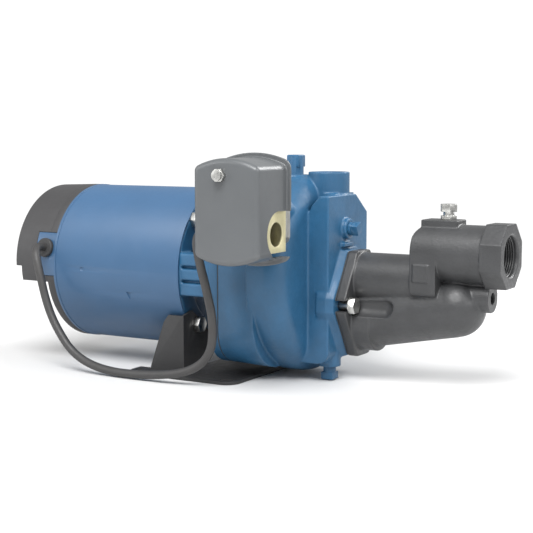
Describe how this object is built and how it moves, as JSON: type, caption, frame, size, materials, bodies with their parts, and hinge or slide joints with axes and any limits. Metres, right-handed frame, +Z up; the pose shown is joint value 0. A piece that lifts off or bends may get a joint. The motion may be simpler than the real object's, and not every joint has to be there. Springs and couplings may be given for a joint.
{
  "type": "shallow well jet pump",
  "caption": "Round electric motor on a slotted foot drives a cast pump body with a jet casting, top ports and a boxed pressure switch at its side.",
  "frame": {"origin": "centre of the foot's four bolt slots, on the floor", "axes": "+X along the shaft from the motor to the suction port, -Y to the pressure switch, +Z up"},
  "size_m": [0.5246, 0.2685, 0.2227],
  "materials": {
    "blue": "satin blue paint",
    "casting": "blue painted sand casting",
    "dark": "satin charcoal paint",
    "iron": "black painted sand casting",
    "grey": "smooth grey paint",
    "zinc": "zinc plated",
    "yellow": "yellow zinc plated",
    "steel": "turned steel",
    "lamin": "laminated electrical steel",
    "copper": "enamelled copper wire",
    "brass": "turned brass",
    "rubber": "black rubber",
    "plastic": "moulded thermoplastic",
    "ceramic": "polished ceramic",
    "fibre": "pressed fibre sheet"
  },
  "bodies": {
    "base": {"motor_shell": "blue", "rear_end_bell": "dark", "front_end_bell": "casting", "stator_core": "lamin", "stator_windings": "copper", "rear_bearing": "steel", "front_bearing": "steel", "starting_switch": "plastic", "start_capacitor": "plastic", "capacitor_strap": "zinc", "terminal_board": "plastic", "through_bolts": "zinc", "cord_grommet": "rubber", "motor_adapter": "casting", "adapter_bolts": "zinc", "foot_bracket": "dark", "seal_seat": "ceramic", "diffuser": "plastic", "diffuser_screws": "steel", "pump_body": "casting", "body_gasket": "fibre", "body_bolts": "zinc", "drain_plug": "casting", "gauge_plug": "casting", "jet_body": "iron", "jet_gasket": "fibre", "jet_bolts": "zinc", "venturi": "plastic", "nozzle": "brass", "switch_frame": "yellow", "diaphragm_housing": "zinc", "diaphragm": "rubber", "housing_screws": "zinc", "switch_nipple": "zinc", "lever_pin": "steel", "range_stud": "zinc", "main_spring": "steel", "spring_nut": "zinc", "terminal_block": "plastic", "terminal_screws": "brass", "cord_connector": "zinc", "motor_cord": "rubber"},
    "rotor": {"rotor_core": "lamin", "motor_shaft": "steel", "cooling_fan": "plastic", "governor": "zinc", "slinger": "rubber", "seal_head": "rubber", "seal_spring": "steel", "impeller": "plastic"},
    "canopy": {"rear_canopy": "dark", "canopy_screws": "zinc"},
    "priming": {"priming_plug": "casting"},
    "vent": {"vent_plug": "zinc"},
    "cover": {"switch_cover": "grey", "cover_nut": "zinc"},
    "lever": {"switch_lever": "yellow"},
    "piston": {"plunger": "plastic"}
  },
  "joints": [
    {"name": "shaft_spin", "type": "hinge", "parent": "base", "child": "rotor", "pos_m": [0, 0, 0.1016], "axis": [1, 0, 0], "continuous": true},
    {"name": "canopy_off", "type": "slide", "parent": "base", "child": "canopy", "axis": [-1, 0, 0], "range_m": [0, 0.07]},
    {"name": "priming_lift", "type": "slide", "parent": "base", "child": "priming", "axis": [0, 0, 1], "range_m": [0, 0.05]},
    {"name": "vent_lift", "type": "slide", "parent": "base", "child": "vent", "axis": [0, 0, 1], "range_m": [0, 0.02]},
    {"name": "cover_off", "type": "slide", "parent": "base", "child": "cover", "axis": [0, -1, 0], "range_m": [0, 0.08]},
    {"name": "lever_tip", "type": "hinge", "parent": "base", "child": "lever", "pos_m": [0.0981, -0.1176, 0.137], "axis": [1, 0, 0], "range_deg": [0, 1]},
    {"name": "piston_push", "type": "slide", "parent": "base", "child": "piston", "axis": [0, -1, 0], "range_m": [0, 0.00051]}
  ],
  "couplings": [
    {"joint": "piston_push", "follows": "lever_tip", "m_per_rad": 0.029}
  ]
}
